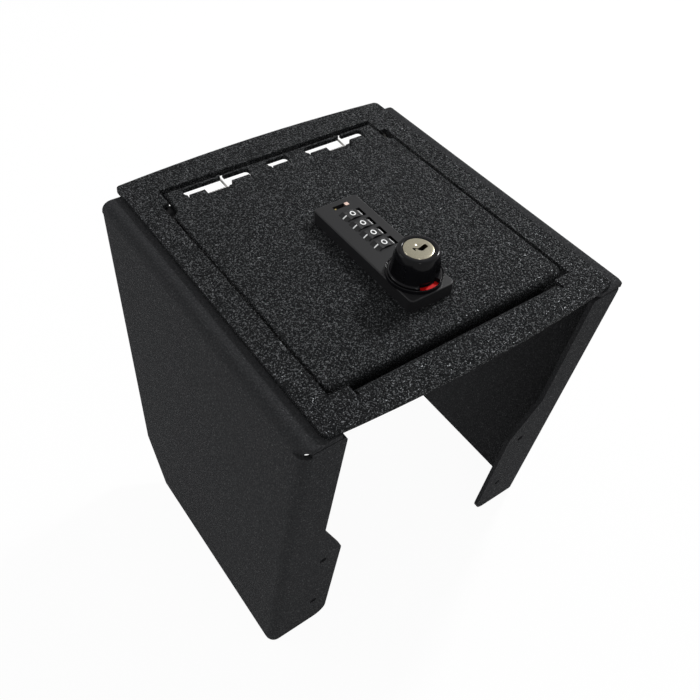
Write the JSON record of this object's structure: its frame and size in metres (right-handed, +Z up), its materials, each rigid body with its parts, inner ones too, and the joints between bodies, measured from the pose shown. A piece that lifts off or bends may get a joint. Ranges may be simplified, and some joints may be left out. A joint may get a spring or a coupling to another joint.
{
  "type": "console safe",
  "caption": "Folded-steel safe insert for a vehicle's centre console: open-sided body with bolt tabs, hinged lid with combination dials, knob and key lock.",
  "frame": {"origin": "middle of the object's outline in plan, on the plane that the side panels' lower edges stand on", "axes": "+X to the right as seen by someone facing the lock from the front, +Y to the back where the lid's hinge is, +Z up"},
  "size_m": [0.225, 0.23, 0.2646],
  "materials": {
    "powder_coat": "black textured powder coat with fine light speckles",
    "weld_bead": "weld bead under the same black coat",
    "zinc_steel": "zinc-plated steel",
    "spring_steel": "bright spring wire",
    "lock_black": "satin black zinc casting",
    "knob_black": "gloss black",
    "dial_black": "satin black plastic",
    "nickel_plug": "warm nickel, lightly worn",
    "brass_parts": "plain brass",
    "copper_slider": "copper-coloured metal",
    "state_red": "red"
  },
  "bodies": {
    "frame": {"bezel": "powder_coat", "left_side_panel": "powder_coat", "right_side_panel": "powder_coat", "left_weld_seam": "weld_bead", "right_weld_seam": "weld_bead", "left_hinge_bracket": "powder_coat", "right_hinge_bracket": "powder_coat", "hinge_pin": "zinc_steel", "left_pin_clip": "spring_steel", "right_pin_clip": "spring_steel", "left_lid_spring": "spring_steel", "right_lid_spring": "spring_steel"},
    "lid": {"lid_panel": "powder_coat", "lock_housing": "lock_black", "knob_base_ring": "knob_black", "state_disc": "state_red", "lock_body": "lock_black", "dial_spindle": "zinc_steel", "detent_spring": "spring_steel", "rear_lock_screw": "zinc_steel", "middle_lock_screw": "zinc_steel"},
    "dial_1": {"dial_wheel_1": "dial_black"},
    "dial_2": {"dial_wheel_2": "dial_black"},
    "dial_3": {"dial_wheel_3": "dial_black"},
    "dial_4": {"dial_wheel_4": "dial_black"},
    "slider": {"code_slider": "copper_slider"},
    "knob_drive": {"knob": "knob_black", "key_cylinder_shell": "brass_parts", "drive_shaft": "zinc_steel", "latch_cam": "zinc_steel", "cam_washer": "zinc_steel", "cam_bolt": "zinc_steel"},
    "key": {"key_plug": "nickel_plug", "key_wafer_1": "brass_parts", "key_wafer_2": "brass_parts", "key_wafer_3": "brass_parts", "key_wafer_4": "brass_parts", "key_wafer_5": "brass_parts"}
  },
  "joints": [
    {"name": "lid_hinge", "type": "hinge", "parent": "frame", "child": "lid", "pos_m": [0, 0.0805, 0.2295], "axis": [-1, 0, 0], "range_deg": [0, 95]},
    {"name": "knob_turn", "type": "hinge", "parent": "lid", "child": "knob_drive", "pos_m": [0, -0.052, 0.255], "axis": [0, 0, -1], "range_deg": [0, 90]},
    {"name": "key_turn", "type": "hinge", "parent": "knob_drive", "child": "key", "pos_m": [0, -0.052, 0.262], "axis": [0, 0, -1], "range_deg": [0, 90]},
    {"name": "dial_1_turn", "type": "hinge", "parent": "lid", "child": "dial_1", "pos_m": [0.0019, 0.007, 0.2377], "axis": [0, 1, 0], "continuous": true},
    {"name": "dial_2_turn", "type": "hinge", "parent": "lid", "child": "dial_2", "pos_m": [0.0019, -0.003, 0.2377], "axis": [0, 1, 0], "continuous": true},
    {"name": "dial_3_turn", "type": "hinge", "parent": "lid", "child": "dial_3", "pos_m": [0.0019, -0.013, 0.2377], "axis": [0, 1, 0], "continuous": true},
    {"name": "dial_4_turn", "type": "hinge", "parent": "lid", "child": "dial_4", "pos_m": [0.0019, -0.023, 0.2377], "axis": [0, 1, 0], "continuous": true},
    {"name": "code_slide", "type": "slide", "parent": "lid", "child": "slider", "axis": [-1, 0, 0], "range_m": [0, 0.004]}
  ]
}
